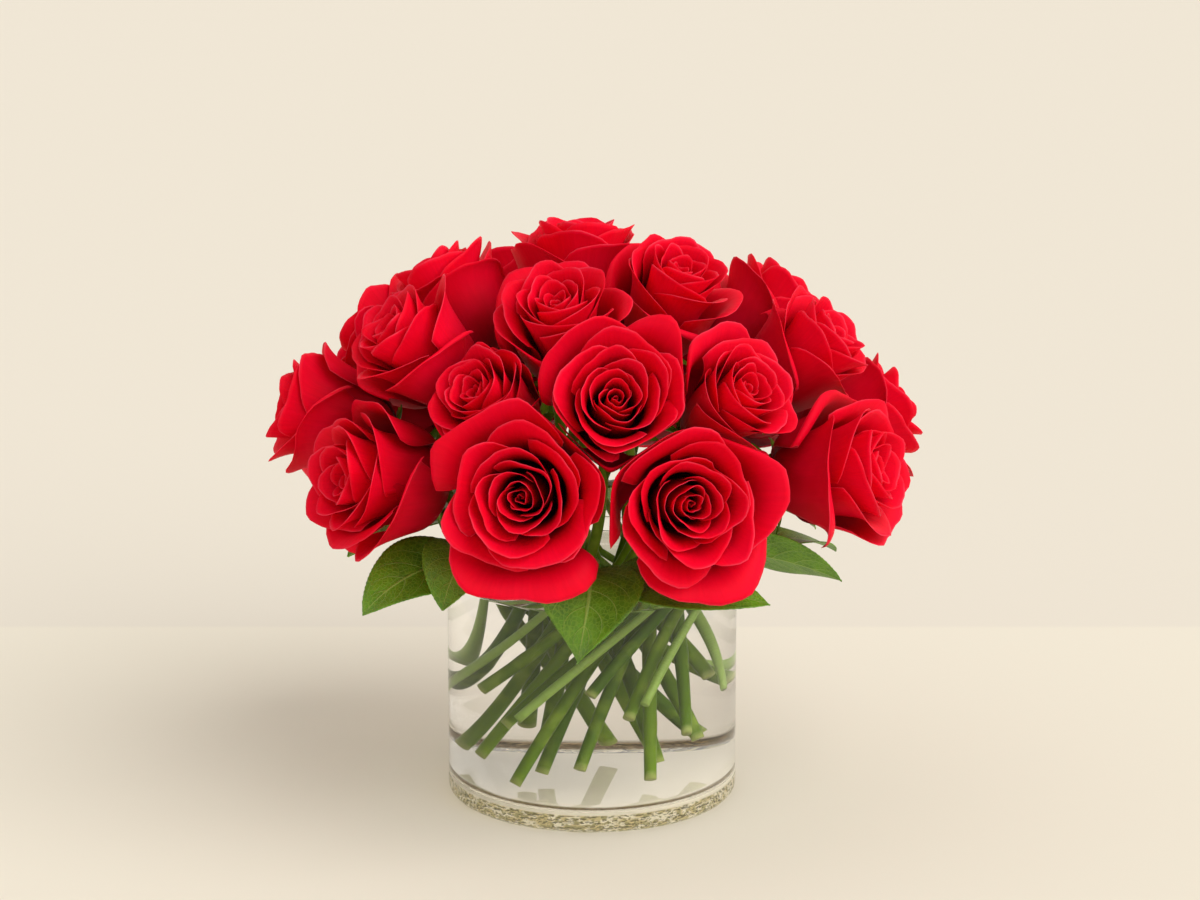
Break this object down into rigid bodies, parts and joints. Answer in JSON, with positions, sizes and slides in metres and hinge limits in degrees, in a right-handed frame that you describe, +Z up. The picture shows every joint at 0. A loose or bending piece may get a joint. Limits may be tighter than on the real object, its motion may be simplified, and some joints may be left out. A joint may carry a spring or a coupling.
{
  "type": "roses in a vase",
  "caption": "Low dome of cut red garden roses with a few leathery toothed leaves, standing in water in a thick-based clear glass cylinder vase.",
  "frame": {"origin": "centre of the vase's flat underside, on the surface it stands on", "axes": "+Z up along the vase's axis; -Y towards the front of the bouquet, the side pictured"},
  "size_m": [0.3361, 0.2921, 0.3027],
  "materials": {
    "glass": "clear, polished",
    "water": "clear, still",
    "petal": "velvety, satin",
    "stem": "satin",
    "leaf": "waxy, semi-gloss"
  },
  "bodies": {
    "root": {"vase": "glass", "water": "water", "rose_bloom_01": "petal", "rose_bloom_02": "petal", "rose_bloom_03": "petal", "rose_bloom_04": "petal", "rose_bloom_05": "petal", "rose_bloom_06": "petal", "rose_bloom_07": "petal", "rose_bloom_08": "petal", "rose_bloom_09": "petal", "rose_bloom_10": "petal", "rose_bloom_11": "petal", "rose_bloom_12": "petal", "rose_bloom_13": "petal", "rose_bloom_14": "petal", "rose_bloom_15": "petal", "rose_bloom_16": "petal", "rose_bloom_17": "petal", "rose_bloom_18": "petal", "rose_bloom_19": "petal", "rose_bloom_20": "petal", "rose_bloom_21": "petal", "rose_bloom_22": "petal", "rose_bloom_23": "petal", "rose_stem_01": "stem", "rose_stem_02": "stem", "rose_stem_03": "stem", "rose_stem_04": "stem", "rose_stem_05": "stem", "rose_stem_06": "stem", "rose_stem_07": "stem", "rose_stem_08": "stem", "rose_stem_09": "stem", "rose_stem_10": "stem", "rose_stem_11": "stem", "rose_stem_12": "stem", "rose_stem_13": "stem", "rose_stem_14": "stem", "rose_stem_15": "stem", "rose_stem_16": "stem", "rose_stem_17": "stem", "rose_stem_18": "stem", "rose_stem_19": "stem", "rose_stem_20": "stem", "rose_stem_21": "stem", "rose_stem_22": "stem", "rose_stem_23": "stem", "leaf_sprig_01": "leaf", "leaf_sprig_02": "leaf", "leaf_sprig_03": "leaf", "leaf_sprig_04": "leaf", "leaf_sprig_05": "leaf", "leaf_sprig_06": "leaf"}
  },
  "joints": []
}
